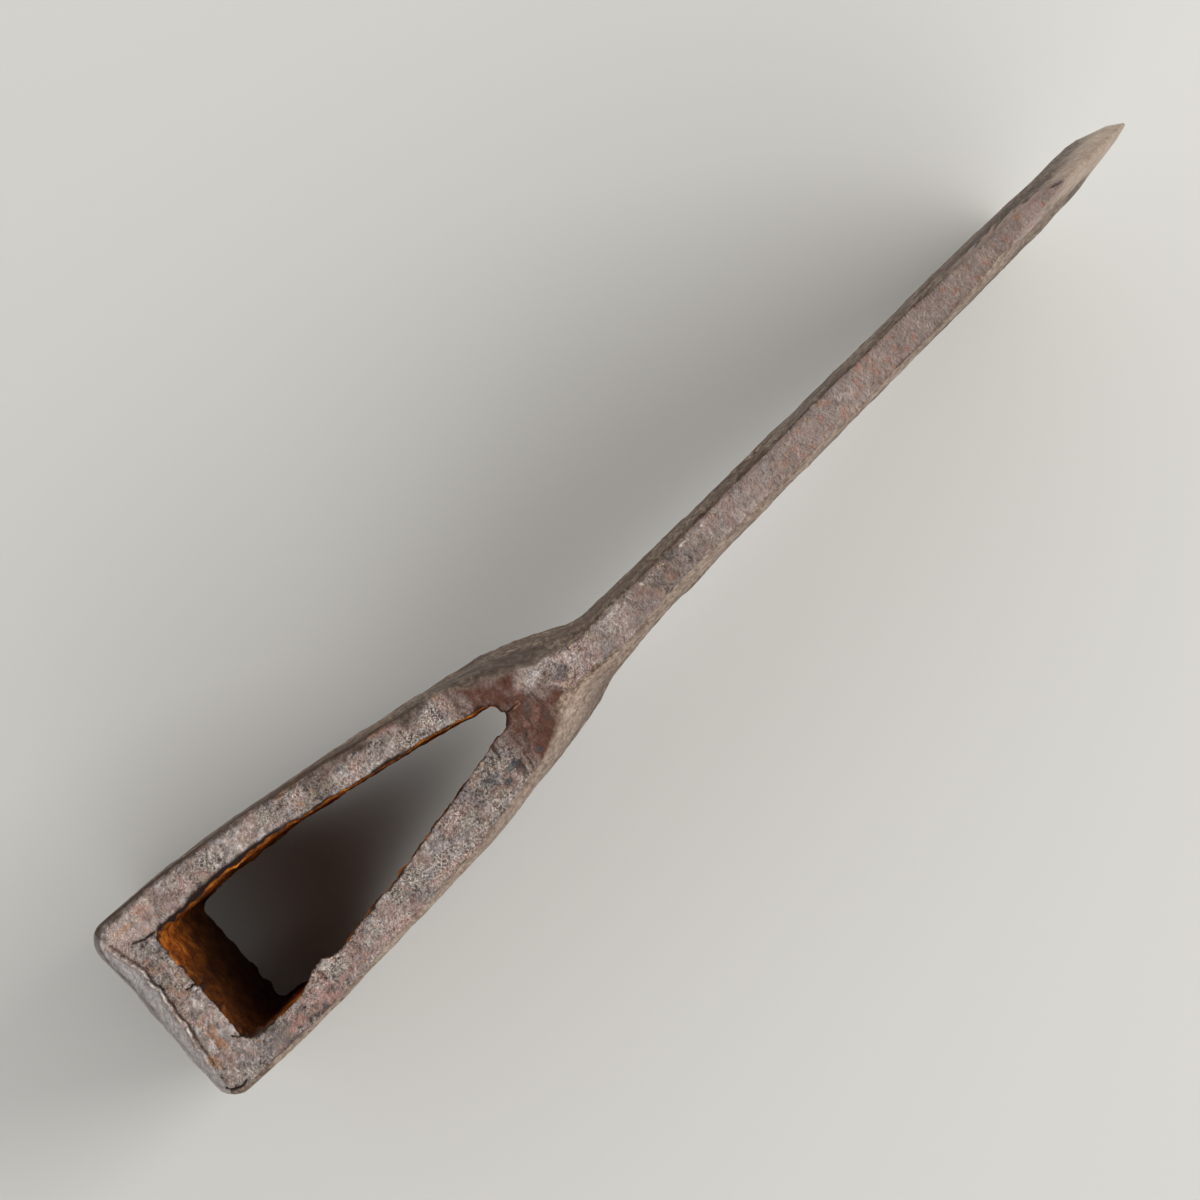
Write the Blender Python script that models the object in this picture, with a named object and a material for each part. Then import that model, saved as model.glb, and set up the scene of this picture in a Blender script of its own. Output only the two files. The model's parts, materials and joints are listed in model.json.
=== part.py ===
"""Side axe head: one forged piece, standing upside down on its poll and the toe of its blade.

X runs from the poll to the cutting edge, Y is the side that the blade leans to, and Z is up. The eye
runs straight up through the socket. Everything is worked out with x = 0 on the poll's outer face and
the socket's middle plane at y = 0, and the finished solid is shifted so that the origin is at the
bottom of its box, in the middle. Sizes are in metres.
"""

import math

import bmesh
import bpy

# Overall
LENGTH = 0.2352
SOCKET_HEIGHT = 0.0780
SOCKET_HALF_WIDTH = 0.0199
HEEL_HEIGHT = 0.1390

# Poll
POLL_THICKNESS = 0.0101
POLL_CORNER = 0.0045
POLL_TOP_DROP = 0.0026
POLL_FOOT_DROP = 0.0014

# Eye, seen from above: flat at the poll, bowed sides, rounded nose
EYE_HALF_WIDTH = 0.0133
EYE_SHOULDER = 0.0240
EYE_NOSE_START = 0.0790
EYE_NOSE_END = 0.0834
EYE_NOSE_HALF_WIDTH = 0.0032
EYE_SIDE_BOW = 1.35
EYE_CORNER = 0.0018
EYE_POLL_OFFSET = -0.0002
EYE_NOSE_OFFSET = 0.0007
EYE_FOOT_SHIFT = -0.0011
EYE_FOOT_SCALE = 0.96

# Side view: the outline along the top and along the foot, as (x, z)
TOP_LINE = (
    (0.0000, SOCKET_HEIGHT),
    (0.0780, SOCKET_HEIGHT),
    (0.0880, 0.0748),
    (0.0980, 0.0712),
    (0.1090, 0.0722),
    (0.1220, 0.0772),
    (0.1500, 0.0905),
    (0.1800, 0.1105),
    (0.2110, HEEL_HEIGHT),
)
FOOT_LINE = (
    (0.0000, 0.0000),
    (0.0180, 0.0000),
    (0.0550, 0.0078),
    (0.0950, 0.0128),
    (0.1400, 0.0110),
    (0.1850, 0.0048),
    (0.2177, 0.0000),
)

# Plan view, as (x, y): the middle line, then half the width at the cheeks, and half the width of
# the flat rim or edge that the head shows from above and from below
MIDDLE_LINE = (
    (0.0000, 0.0000),
    (0.0300, 0.0000),
    (0.0640, -0.0007),
    (0.0840, -0.0010),
    (0.0970, -0.0013),
    (0.1040, -0.0018),
    (0.1120, -0.0011),
    (0.1300, 0.0002),
    (0.1600, 0.0020),
    (0.1900, 0.0039),
    (0.2100, 0.0049),
    (0.2190, 0.0052),
    (LENGTH, 0.0057),
)
CHEEK_LINE = (
    (0.0000, SOCKET_HALF_WIDTH),
    (0.0120, SOCKET_HALF_WIDTH),
    (0.0340, 0.0182),
    (0.0640, 0.0151),
    (0.0840, 0.0117),
    (0.0930, 0.0094),
    (0.0970, 0.0080),
    (0.1010, 0.0064),
    (0.1100, 0.0053),
    (0.1500, 0.0044),
    (0.1750, 0.0040),
    (0.2225, 0.0037),
)
RIM_LINE = (
    (0.0000, 0.0184),
    (0.0180, 0.0185),
    (0.0490, 0.0154),
    (0.0740, 0.0117),
    (0.0830, 0.0092),
    (0.0940, 0.0037),
    (0.1090, 0.0031),
    (0.1290, 0.0026),
    (0.1670, 0.0029),
    (0.2110, 0.0014),
)
# How far below the top the sides reach their full width, as (x, depth)
SHOULDER_LINE = (
    (0.0000, 0.0040),
    (0.0600, 0.0060),
    (0.0800, 0.0100),
    (0.0940, 0.0220),
    (0.1100, 0.0260),
    (0.2110, 0.0300),
)
CHEEK_LEAN = 0.0090
LEAN_PEAK = 0.0960
LEAN_SPREAD = 0.0330

# Cutting edge: a short round bevel on the leaning side and a long one on the other, as (length,
# roundness)
EDGE_FRONT_SHARE = 0.5
TOE_SAGITTA = 0.0173
HEEL_SAGITTA = 0.0240
BOW_START = 0.1080
BOW_FULL = 0.2227
LEANING_BEVEL = (0.0090, 1.8)
PLAIN_BEVEL = (0.0220, 1.5)
EDGE_HALF_THICKNESS = 0.0002

# Mesh
SHARP_ANGLE = 35
CORNER_ROWS = 5
SIDE_ROWS = 10
POLL_STATIONS = 5
SOCKET_STEP = 0.0050
NECK_START, NECK_END, NECK_STEP = 0.0750, 0.1150, 0.0025
BLADE_STEP = 0.0080
BEVEL_STATIONS = 9
NOSE_POINTS = 7
SIDE_POINTS = 12
EYE_CORNER_POINTS = 4
CUT_BEYOND = 0.0100

IRON_COLOUR = (0.205, 0.168, 0.150, 1.0)
IRON_ROUGHNESS = 0.55
IRON_METALLIC = 0.75


def slopes_of(points):
    """The tangent at each point of a curve that never overshoots its points."""
    steps = [
        (b[1] - a[1]) / (b[0] - a[0]) for a, b in zip(points, points[1:])
    ]
    slopes = [steps[0]]
    for before, after in zip(steps, steps[1:]):
        flat = before * after <= 0
        slopes.append(0.0 if flat else 2 * before * after / (before + after))
    slopes.append(steps[-1])
    return slopes


def read_line(points, x):
    """The value at x on a smooth curve through the points, level beyond its ends."""
    if x <= points[0][0]:
        return points[0][1]
    slopes = slopes_of(points)
    for i, (a, b) in enumerate(zip(points, points[1:])):
        if x <= b[0]:
            span = b[0] - a[0]
            t = (x - a[0]) / span
            rise = b[1] - a[1]
            curve = (slopes[i] * span * (1 - t) - slopes[i + 1] * span * t) * t * (1 - t)
            bend = rise * (2 * t - 1) * t * (1 - t)
            return a[1] + rise * t + curve + bend
    return points[-1][1]


def smooth_step(low, high, x):
    t = min(max((x - low) / (high - low), 0.0), 1.0)
    return t * t * (3 - 2 * t)


def bow_behind_edge(share):
    """How far the cutting edge lies behind its foremost point, at this share of its height."""
    sagitta = TOE_SAGITTA if share < EDGE_FRONT_SHARE else HEEL_SAGITTA
    return sagitta * ((share - EDGE_FRONT_SHARE) / EDGE_FRONT_SHARE) ** 2


def station_x(front, share):
    """Where a station lies at this share of its height: leaning at the neck, bowed near the edge."""
    bow = smooth_step(BOW_START, BOW_FULL, front)
    lean = CHEEK_LEAN * math.exp(-(((front - LEAN_PEAK) / LEAN_SPREAD) ** 2))
    return front - bow * bow_behind_edge(share) + lean * (0.5 - share)


def poll_rounding(front):
    """How far the outline is drawn in at the poll's rounded corners, as a share of their radius."""
    if front >= POLL_CORNER:
        return 0.0
    return 1 - math.sqrt(1 - (1 - front / POLL_CORNER) ** 2)


def half_width(line, x, front, bevel):
    """Half a width read from a line at x, drawn in at the poll's corners and along the bevel."""
    width = read_line(line, x) - POLL_CORNER * poll_rounding(front)
    length, roundness = bevel
    from_edge = LENGTH - front
    if from_edge >= length:
        return width
    taper = (from_edge / length) ** (1 / roundness)
    return EDGE_HALF_THICKNESS + (width - EDGE_HALF_THICKNESS) * taper


def corner_rows(rim, cheek, edge, shoulder):
    """(half width, z) round a corner, from the flat edge until just before the cheek."""
    turns = [math.pi / 2 * k / CORNER_ROWS for k in range(CORNER_ROWS)]
    return [
        (rim + (cheek - rim) * math.sin(turn), edge + shoulder * (1 - math.cos(turn)))
        for turn in turns
    ]


def side_rows(front, bevel):
    """(x, y, z) up one side of a station, from its foot to its top, with y as a half width."""
    foot_x, top_x = station_x(front, 0.0), station_x(front, 1.0)
    foot = read_line(FOOT_LINE, foot_x) + POLL_FOOT_DROP * poll_rounding(front)
    top = read_line(TOP_LINE, top_x) - POLL_TOP_DROP * poll_rounding(front)
    cheek = half_width(CHEEK_LINE, front, front, bevel)
    shoulder = read_line(SHOULDER_LINE, front)
    foot_rim = half_width(RIM_LINE, foot_x, front, bevel)
    top_rim = half_width(RIM_LINE, top_x, front, bevel)
    foot_corner = corner_rows(foot_rim, cheek, foot, shoulder)
    top_corner = corner_rows(top_rim, cheek, top, -shoulder)
    height = top - foot
    side = [
        (cheek, foot + shoulder + (height - 2 * shoulder) * k / SIDE_ROWS)
        for k in range(SIDE_ROWS + 1)
    ]
    rows = foot_corner + side + top_corner[::-1]
    return [(station_x(front, (z - foot) / height), y, z) for y, z in rows]


def station_fronts():
    """The foremost x of every station, from the poll to the cutting edge."""
    quarter = math.pi / 2 / POLL_STATIONS
    fronts = [POLL_CORNER * (1 - math.cos(quarter * k)) for k in range(POLL_STATIONS + 1)]
    bevel_length = max(LEANING_BEVEL[0], PLAIN_BEVEL[0])
    for end, step in (
        (NECK_START, SOCKET_STEP),
        (NECK_END, NECK_STEP),
        (LENGTH - bevel_length, BLADE_STEP),
    ):
        start = fronts[-1]
        count = round((end - start) / step)
        fronts += [start + (end - start) * (k + 1) / count for k in range(count)]
    for k in range(1, BEVEL_STATIONS + 1):
        fronts.append(LENGTH - bevel_length * (1 - k / BEVEL_STATIONS))
    return fronts


def shift_to_origin(x, y, z):
    return x - LENGTH / 2, y, z


def add_object(name, mesh):
    made = bpy.data.objects.new(name, mesh)
    bpy.context.scene.collection.objects.link(made)
    return made


def skin(bm, first, second):
    """Quads between two rows of points that run side by side."""
    for k in range(len(first) - 1):
        bm.faces.new((first[k], first[k + 1], second[k + 1], second[k]))


def forged_body():
    """The head without its eye: both sides, the top, the foot, the poll's face and the edge."""
    bm = bmesh.new()
    left, right = [], []
    for front in station_fronts():
        for side, sign, bevel in ((left, 1, LEANING_BEVEL), (right, -1, PLAIN_BEVEL)):
            side.append(
                [
                    bm.verts.new(shift_to_origin(x, read_line(MIDDLE_LINE, x) + sign * y, z))
                    for x, y, z in side_rows(front, bevel)
                ]
            )
    for i in range(len(left) - 1):
        skin(bm, left[i], left[i + 1])
        skin(bm, right[i + 1], right[i])
    skin(bm, [row[-1] for row in left], [row[-1] for row in right])
    skin(bm, [row[0] for row in right], [row[0] for row in left])
    skin(bm, left[-1], right[-1])
    bm.faces.new(left[0][::-1] + right[0])
    bmesh.ops.recalc_face_normals(bm, faces=bm.faces)
    mesh = bpy.data.meshes.new("axe_head")
    bm.to_mesh(mesh)
    bm.free()
    return add_object("axe_head", mesh)


def eye_half_width(x):
    if x <= EYE_SHOULDER:
        return EYE_HALF_WIDTH
    if x >= EYE_NOSE_START:
        along = min((x - EYE_NOSE_START) / (EYE_NOSE_END - EYE_NOSE_START), 1.0)
        return EYE_NOSE_HALF_WIDTH * math.sqrt(1 - along * along)
    along = (x - EYE_SHOULDER) / (EYE_NOSE_START - EYE_SHOULDER)
    taper = 1 - along**EYE_SIDE_BOW
    return EYE_NOSE_HALF_WIDTH + (EYE_HALF_WIDTH - EYE_NOSE_HALF_WIDTH) * taper


def eye_offset(x):
    """How far the eye's middle line lies off the socket's."""
    share = smooth_step(EYE_SHOULDER, EYE_NOSE_START, x)
    return EYE_POLL_OFFSET + (EYE_NOSE_OFFSET - EYE_POLL_OFFSET) * share


def eye_outline():
    """(x, y) round the eye, from the middle of the nose past the poll's wall and back."""
    xs = []
    for k in range(1, NOSE_POINTS + 1):
        angle = math.pi / 2 * k / NOSE_POINTS
        xs.append(EYE_NOSE_START + (EYE_NOSE_END - EYE_NOSE_START) * math.cos(angle))
    for k in range(1, SIDE_POINTS + 1):
        xs.append(EYE_NOSE_START + (EYE_SHOULDER - EYE_NOSE_START) * k / SIDE_POINTS)
    side = [(x, eye_half_width(x)) for x in xs]
    for k in range(EYE_CORNER_POINTS):
        angle = math.pi / 2 * k / (EYE_CORNER_POINTS - 1)
        side.append(
            (
                POLL_THICKNESS + EYE_CORNER * (1 - math.sin(angle)),
                EYE_HALF_WIDTH - EYE_CORNER * (1 - math.cos(angle)),
            )
        )
    return [(EYE_NOSE_END, 0.0)] + side + [(x, -y) for x, y in reversed(side)]


def eye_cutter():
    """The space of the eye, a little narrower and further over at its foot."""
    bm = bmesh.new()
    rings = []
    for z in (-CUT_BEYOND, SOCKET_HEIGHT + CUT_BEYOND):
        depth = 1 - z / SOCKET_HEIGHT
        scale = 1 + (EYE_FOOT_SCALE - 1) * depth
        shift = EYE_FOOT_SHIFT * depth
        ring = [
            bm.verts.new(shift_to_origin(x, scale * y + eye_offset(x) + shift, z))
            for x, y in eye_outline()
        ]
        rings.append(ring)
    lower, upper = rings
    skin(bm, lower + lower[:1], upper + upper[:1])
    bm.faces.new(lower[::-1])
    bm.faces.new(upper)
    bmesh.ops.recalc_face_normals(bm, faces=bm.faces)
    mesh = bpy.data.meshes.new("eye_cutter")
    bm.to_mesh(mesh)
    bm.free()
    cutter = add_object("eye_cutter", mesh)
    cutter.hide_render = True
    cutter.display_type = "WIRE"
    return cutter


def iron():
    material = bpy.data.materials.new("forged_iron")
    material.use_nodes = True
    shader = material.node_tree.nodes["Principled BSDF"]
    shader.inputs["Base Color"].default_value = IRON_COLOUR
    shader.inputs["Roughness"].default_value = IRON_ROUGHNESS
    shader.inputs["Metallic"].default_value = IRON_METALLIC
    return material


def main():
    for old in list(bpy.data.objects):
        bpy.data.objects.remove(old, do_unlink=True)
    head = forged_body()
    head.data.materials.append(iron())
    cut = head.modifiers.new("eye", "BOOLEAN")
    cut.operation = "DIFFERENCE"
    cut.solver = "EXACT"
    cut.object = eye_cutter()
    head.data.shade_smooth()
    head.data.set_sharp_from_angle(angle=math.radians(SHARP_ANGLE))


main()
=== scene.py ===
import json
import math

import bmesh
import bpy
import numpy as np
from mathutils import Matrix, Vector, kdtree, noise


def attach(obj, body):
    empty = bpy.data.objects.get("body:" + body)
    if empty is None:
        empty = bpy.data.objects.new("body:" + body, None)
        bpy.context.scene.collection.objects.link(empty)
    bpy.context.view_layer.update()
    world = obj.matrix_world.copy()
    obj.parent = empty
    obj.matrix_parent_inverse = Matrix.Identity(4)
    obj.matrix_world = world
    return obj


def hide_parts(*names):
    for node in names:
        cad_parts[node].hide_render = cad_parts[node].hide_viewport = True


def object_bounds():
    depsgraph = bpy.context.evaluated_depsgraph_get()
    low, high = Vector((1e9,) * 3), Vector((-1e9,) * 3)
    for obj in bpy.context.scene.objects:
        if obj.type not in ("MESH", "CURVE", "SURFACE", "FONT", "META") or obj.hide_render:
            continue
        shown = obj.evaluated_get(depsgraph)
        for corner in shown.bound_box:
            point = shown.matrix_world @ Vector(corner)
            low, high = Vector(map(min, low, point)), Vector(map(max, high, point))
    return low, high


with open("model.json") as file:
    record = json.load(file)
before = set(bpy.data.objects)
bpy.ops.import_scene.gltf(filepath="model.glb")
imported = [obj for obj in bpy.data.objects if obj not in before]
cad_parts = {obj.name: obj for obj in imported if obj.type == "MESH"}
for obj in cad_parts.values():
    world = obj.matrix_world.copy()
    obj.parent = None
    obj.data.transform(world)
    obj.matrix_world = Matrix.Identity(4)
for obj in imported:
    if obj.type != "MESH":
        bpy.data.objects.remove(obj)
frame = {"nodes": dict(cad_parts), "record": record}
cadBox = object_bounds()

mm = 0.001
mounts = {mount["name"]: Vector(mount["pos_m"]) for mount in frame["record"]["mounts"]}
pollFace = mounts["poll_face"].x
rimTop = mounts["eye_rim"].z

# The head stands on its poll's foot and its toe, so the eye runs straight up. Places on it are in
# millimetres: along from the poll's face, across from the socket's middle plane, up from the ground.

forging = {
    "grid": 0.54,            # mesh size before thinning; the top is then cut twice as fine
    "quickGrid": 0.9,
    "fineTo": 1.6,           # depth below the top that is cut finer
    "heelFineTo": 6.0,       # and at the heel, which starts between these
    "heel": (188, 196),
    "swell": 0.30,           # grown by this before the grid is laid, so that the thin edge survives
    "wear": 4,               # rounds of smoothing that dull the corners, each this strong
    "wearEach": 0.5,
    "keenFrom": 1.0,         # wear starts this far behind the cutting edge, and is full at keenTo
    "keenTo": 5.0,
    "triangles": 196000,
    "thinFrom": 1.8, "thinTo": 3.0,    # triangles are joined below these depths
    "thinning": 4.0,         # how strongly depth decides where they are joined
}

iron = {
    "hammerSize": 13.0, "hammerHeight": 0.20,
    "crinkleSize": 1.5, "crinkleHeight": 0.075,
    "grainSize": 0.80, "grainHeight": 0.06,
    "roughMore": 1.3,        # how much more of both where the iron is bright and scaly
    "layerSize": (7.0, 4.0, 1.8), "layerHeight": 0.13,
    "waveSize": (30.0, 8.0, 7.0), "waveHeight": 0.16,
    "dentSize": 17.0, "dentDepth": 0.36,    # flat places that the hammer left in the cheeks
    "cheekPits": (9.0, 3.0, 0.45), "cheekPitDepth": 0.16,    # spacing, radius and share
    "pits": (5.0, 1.2, 0.25), "pitDepth": 0.30,
    "crustSize": 2.6, "crustHeight": 0.22,
    "bevel": 5.0,            # bare ground iron behind the edge
    "longBevel": 9.0,        # and on the side away from the lean
    "bevelFade": 4.0, "bevelCalm": 0.85,
    "bump": 0.13,            # depth of the finest grain, which the finish adds
}


def rise(low, high, value):
    t = np.clip((value - low) / (high - low), 0, 1)
    return t * t * (3 - 2 * t)


class Skin:
    # the surface as arrays, one entry for each vertex
    def __init__(self, mesh):
        count = len(mesh.vertices)
        place = np.empty(count * 3, np.float32)
        normal = np.empty(count * 3, np.float32)
        mesh.vertices.foreach_get("co", place)
        mesh.vertices.foreach_get("normal", normal)
        place = place.reshape(-1, 3).astype(float) / mm
        self.place = place - (pollFace / mm, 0, 0)
        self.normal = normal.reshape(-1, 3).astype(float)
        self.along, self.across, self.up = self.place.T
        self.depth = self.highest(self.along, self.up) - self.up
        self.height = self.up + self.highest(self.along, -self.up)
        self.behindEdge = self.highest(self.up, self.along) - self.along

    def highest(self, where, value, step=0.5):
        # the greatest value at each place, read back for every vertex
        slot = np.round((where - where.min()) / step).astype(int)
        top = np.full(slot.max() + 1, -np.inf)
        np.maximum.at(top, slot, value)
        seen = np.isfinite(top)
        slots = np.arange(len(top))
        return np.interp((where - where.min()) / step, slots[seen], top[seen])

    def lumps(self, size, octaves=1, shift=0.0, where=None):
        # soft noise of about -1 to 1, a lump to every size, or to each size along, across and up
        where = slice(None) if where is None else where > 0
        sizes = size if isinstance(size, tuple) else (size, size, size)
        places = (self.place[where] / sizes + shift).tolist()
        found = np.zeros(len(self.place))
        found[where] = [1.6 * noise.fractal(p, 1.0, 2.0, octaves) for p in places]
        return found

    def ridges(self, size, shift=0.0, where=None):
        return 1 - 2 * np.abs(self.lumps(size, 1, shift, where))

    def pits(self, spacing, radius, share, shift=0.0):
        # round hollows, 1 in their middle, in a share of the cells of a loose grid
        found = np.zeros(len(self.place))
        for i, p in enumerate((self.place / spacing + shift).tolist()):
            distances, middles = noise.voronoi(p)
            if noise.cell(middles[0] * 7.3) < 2 * share - 1:
                found[i] = max(0.0, 1 - (distances[0] * spacing / radius) ** 2)
        return found

    def fromLine(self, line, ragged=0.0, size=2.4):
        # distance in plan to a line of (along, across) points, below 0 on its left
        plan = self.place[:, :2].copy()
        corner, opposite = np.min(line, axis=0) - 12, np.max(line, axis=0) + 12
        close = ((plan > corner) & (plan < opposite)).all(axis=1)
        if ragged:
            plan[:, 0] += ragged * self.lumps(size, 2, 3.1, close)
            plan[:, 1] += ragged * self.lumps(size, 2, 8.7, close)
        nearest = np.full(len(plan), np.inf)
        side = np.ones(len(plan))
        for a, b in zip(np.array(line), np.array(line)[1:]):
            run = b - a
            t = np.clip((plan - a) @ run / (run @ run), 0, 1)
            gap = plan - a - t[:, None] * run
            distance = np.hypot(gap[:, 0], gap[:, 1])
            closer = distance < nearest
            nearest[closer] = distance[closer]
            turn = run[0] * gap[:, 1] - run[1] * gap[:, 0]
            side[closer] = np.where(turn[closer] > 0, -1, 1)
        return np.where(close, nearest * side, 99.0)

    def nearest(self, wanted, others, reach=8.0):
        # distance in plan from each wanted vertex to the nearest of the others, up to reach
        found = np.full(len(self.place), reach)
        tree = kdtree.KDTree(int(others.sum()))
        for i in np.nonzero(others)[0]:
            tree.insert((self.along[i], self.across[i], 0), int(i))
        tree.balance()
        for i in np.nonzero(wanted)[0]:
            found[i] = min(reach, tree.find((self.along[i], self.across[i], 0))[2])
        return found

    def blot(self, along, across, wide, deep, ragged=0.6, size=1.6):
        # 1 in the middle of an oval patch, with a ragged border
        oval = np.hypot((self.along - along) / wide, (self.across - across) / deep)
        near = oval < 2.5
        found = np.zeros(len(oval))
        if near.any():
            part = (self.place[near] / size + along).tolist()
            wander = 1.6 * np.array([noise.fractal(p, 1.0, 2.0, 2) for p in part])
            found[near] = 1 - rise(0.55, 1.05, oval[near] + ragged * wander)
        return found


lap = {
    # torn lip along the poll where the iron was folded over, then a shorter one behind it
    "long": [(2.7, 15.6), (3.2, 13.0), (4.2, 10.0), (4.6, 8.5), (4.2, 5.5), (4.5, 4.0), (4.0, 0.5),
             (3.6, -2.0), (3.9, -4.0), (3.4, -6.5), (2.9, -9.0), (2.5, -12.0)],
    "short": [(7.0, -6.0), (5.9, -7.0), (5.5, -9.0), (5.0, -11.0), (4.9, -13.0), (5.4, -15.5)],
    "lipHeight": 0.40, "lipWidth": 0.30, "lipReach": 1.6,
    "seamDepth": 0.55, "seamWidth": 0.36,
    "brightest": (-5.0, 11.5),   # the lip is whole and bright between these, and broken beyond them
    "stripDrop": 0.30, "stripDown": (6.5, 2.0), "stripWander": 1.4, "stripTo": 6,
}

shoulder = {
    # beside the nose of the eye the rim rolls over into the leaning cheek, outside this line
    "line": [(74.0, 12.5), (77.2, 10.0), (81.2, 7.0), (85.2, 5.5), (92.2, 2.6), (96.2, 2.6), (99.0, 4.0)],
    "fall": 0.085, "fallDepth": 4.0,
    "flow": 4.2,             # how close the dark lines lie that follow it round
}

cracks = [
    # (along, across) points, width, depth
    ([(7.9, 1.5), (8.8, 1.1), (9.6, 1.3), (11.2, 0.9)], 0.22, 0.7),
    ([(8.6, -10.6), (9.4, -11.4), (10.7, -12.1)], 0.20, 0.5),
    ([(6.4, 13.5), (8.4, 13.1), (10.6, 13.3)], 0.24, 0.5),
    ([(83.3, 0.1), (84.4, -0.1), (86.0, 0.0)], 0.20, 0.35),
    ([(1.2, -17.2), (2.2, -18.0), (4.2, -18.5), (5.4, -18.3)], 0.28, 0.5),
    ([(208.0, 6.7), (209.3, 5.9), (211.0, 5.6)], 0.30, 0.45),
]

fold = {
    # iron pushed over into the eye on the side away from the blade's lean
    "along": 28.4, "before": 4.4, "after": 2.6, "push": 1.8,
    "edge": -13.0, "spread": 4.2, "down": 7.0,
}

narrower = {
    # (along, by how much) the rim on the leaning side stands further into the eye
    "places": [(9.0, 0.6), (12.0, 1.2), (20.0, 1.25), (24.0, 0.9), (30.0, 0.8), (35.0, 0.3), (38.0, 0.1),
               (44.0, 0.5), (56.0, 0.5), (70.0, 0.1)],
    "from": 17.0, "full": 13.4, "down": 74.0,
}

dents = [
    # along, across, radius, depth
    (75.4, -9.9, 1.1, 0.40), (78.4, -8.2, 1.3, 0.35), (73.0, -7.3, 1.4, 0.20), (83.2, -8.5, 1.0, 0.30),
    (42.2, -11.0, 0.9, 0.30), (35.2, 14.2, 0.9, 0.35), (95.0, -1.0, 1.6, 0.30), (209.3, 5.8, 0.9, 0.35),
]


def lipsAndSeams(skin, marks):
    relief = np.zeros(len(skin.place))
    top = rise(3.6, 1.2, skin.depth)
    low, high = lap["brightest"]
    whole = rise(low - 3, low, skin.across) * rise(high + 3, high, skin.across)
    broken = rise(-0.4, 0.4, skin.lumps(2.2, 2, 5.0, top))
    for name, strength in (("long", 1.0), ("short", 0.45)):
        gap = skin.fromLine(lap[name], 0.22)
        shelf = np.exp(-np.maximum(gap, 0) / lap["lipReach"]) * rise(-0.15, 0.15, gap)
        lip = np.exp(-(((gap - 0.6 * lap["lipWidth"]) / lap["lipWidth"]) ** 2))
        lip *= 0.72 + 0.42 * skin.lumps(1.0, 2, 51.0, top)
        lip = lip * (np.maximum(whole, broken) if name == "long" else broken)
        seam = np.exp(-(((gap + 0.20) / lap["seamWidth"]) ** 2)) * rise(0.1, -0.1, gap)
        relief += strength * top * (lap["lipHeight"] * shelf - lap["seamDepth"] * seam)
        deepest = 0.35 + 0.65 * rise(-7.0, -4.0, skin.across) * rise(10.5, 7.5, skin.across)
        marks["seam"] = np.maximum(marks["seam"], 0.62 * strength * deepest * top * seam)
        marks["bare"] = np.maximum(marks["bare"], strength * top * lip)
        if name == "long":
            wander = lap["stripWander"] * skin.lumps(3.0, 2, 53.0)
            strip = rise(*lap["stripDown"], skin.depth + wander)
            strip = strip * rise(0.3, 1.0, gap) * (skin.along < lap["stripTo"])
            relief -= lap["stripDrop"] * strip * top
            marks["strip"] = strip
    for line, width, depth in cracks:
        gap = np.abs(skin.fromLine(line, 0.18))
        seam = np.exp(-((gap / width) ** 2)) * rise(4.0, 0.8, skin.depth)
        relief -= depth * seam
        marks["seam"] = np.maximum(marks["seam"], 0.85 * seam)
    return relief


blots = [
    # mark, along, across, half length, half width, strength
    ("rust", 6.7, -10.0, 1.1, 4.2, 0.75), ("rust", 3.4, -12.0, 0.8, 2.6, 0.65),
    ("rust", 7.0, 16.3, 1.6, 0.6, 0.55), ("rust", 7.6, 1.2, 1.4, 0.8, 0.9),
    ("rust", 5.8, 9.5, 0.6, 1.8, 0.45), ("rust", 6.4, 4.0, 0.8, 2.4, 0.35),
    ("rust", 72.5, -3.7, 1.4, 0.35, 0.9),
    ("rose", 24.0, -16.4, 8.0, 2.0, 0.9), ("smooth", 15.5, -16.5, 4.0, 2.6, 1.0),
    ("rose", 42.0, -15.9, 11.0, 0.8, 0.7), ("rose", 58.0, -14.2, 8.0, 0.8, 0.6),
    ("rose", 86.0, -3.4, 2.0, 2.0, 0.35), ("rose", 66.0, 12.4, 3.0, 1.0, 0.7),
    ("rose", 87.3, 2.0, 1.0, 0.8, 0.45), ("smooth", 25.0, -17.2, 7.0, 1.6, 0.8),
    ("slate", 15.0, -16.0, 4.8, 3.2, 0.75), ("slate", 95.5, -0.8, 2.0, 1.6, 0.5),
    ("rust", 85.2, -0.1, 1.0, 0.40, 0.9),
    ("rose", 20.5, 15.4, 4.0, 1.2, 0.4), ("rose", 207.0, 5.6, 2.0, 0.6, 0.5),
    ("red", 16.0, 16.2, 5.0, 1.8, 0.25),
    ("bright", 30.0, 15.8, 8.5, 1.8, 0.4), ("bright", 31.0, -14.0, 5.5, 1.6, 1.0),
    ("bare", 16.5, -14.0, 2.6, 0.25, 0.6), ("bright", 70.5, 8.6, 6.0, 2.4, 0.9),
    ("bright", 101.0, 1.0, 4.5, 1.6, 0.25), ("bright", 9.0, -1.0, 2.0, 8.0, 0.5),
    ("bright", 60.0, -10.5, 16.0, 3.5, 0.7), ("bright", 8.0, 16.5, 3.5, 2.2, 0.5),
    ("mellow", 8.0, 16.0, 6.0, 3.5, 0.7),
    ("blue", 75.4, -9.9, 0.9, 0.9, 0.9), ("blue", 78.4, -8.2, 1.5, 0.9, 0.8),
    ("blue", 73.0, -7.3, 1.3, 1.0, 0.4), ("blue", 83.2, -8.5, 0.9, 0.9, 0.7),
    ("blue", 95.6, -1.2, 1.2, 1.6, 0.5), ("blue", 42.2, -11.0, 0.9, 0.9, 0.7),
    ("rust", 202.6, 5.9, 0.8, 0.7, 0.9), ("rose", 199.6, 4.1, 1.0, 1.0, 0.9),
    ("rust", 213.0, 7.0, 2.4, 0.9, 0.5), ("bright", 208.3, 5.4, 2.2, 1.0, 0.7),
    ("rust", 64.0, 13.2, 3.5, 0.8, 0.5), ("rust", 47.0, 16.0, 6.0, 0.6, 0.4),
]

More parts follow.
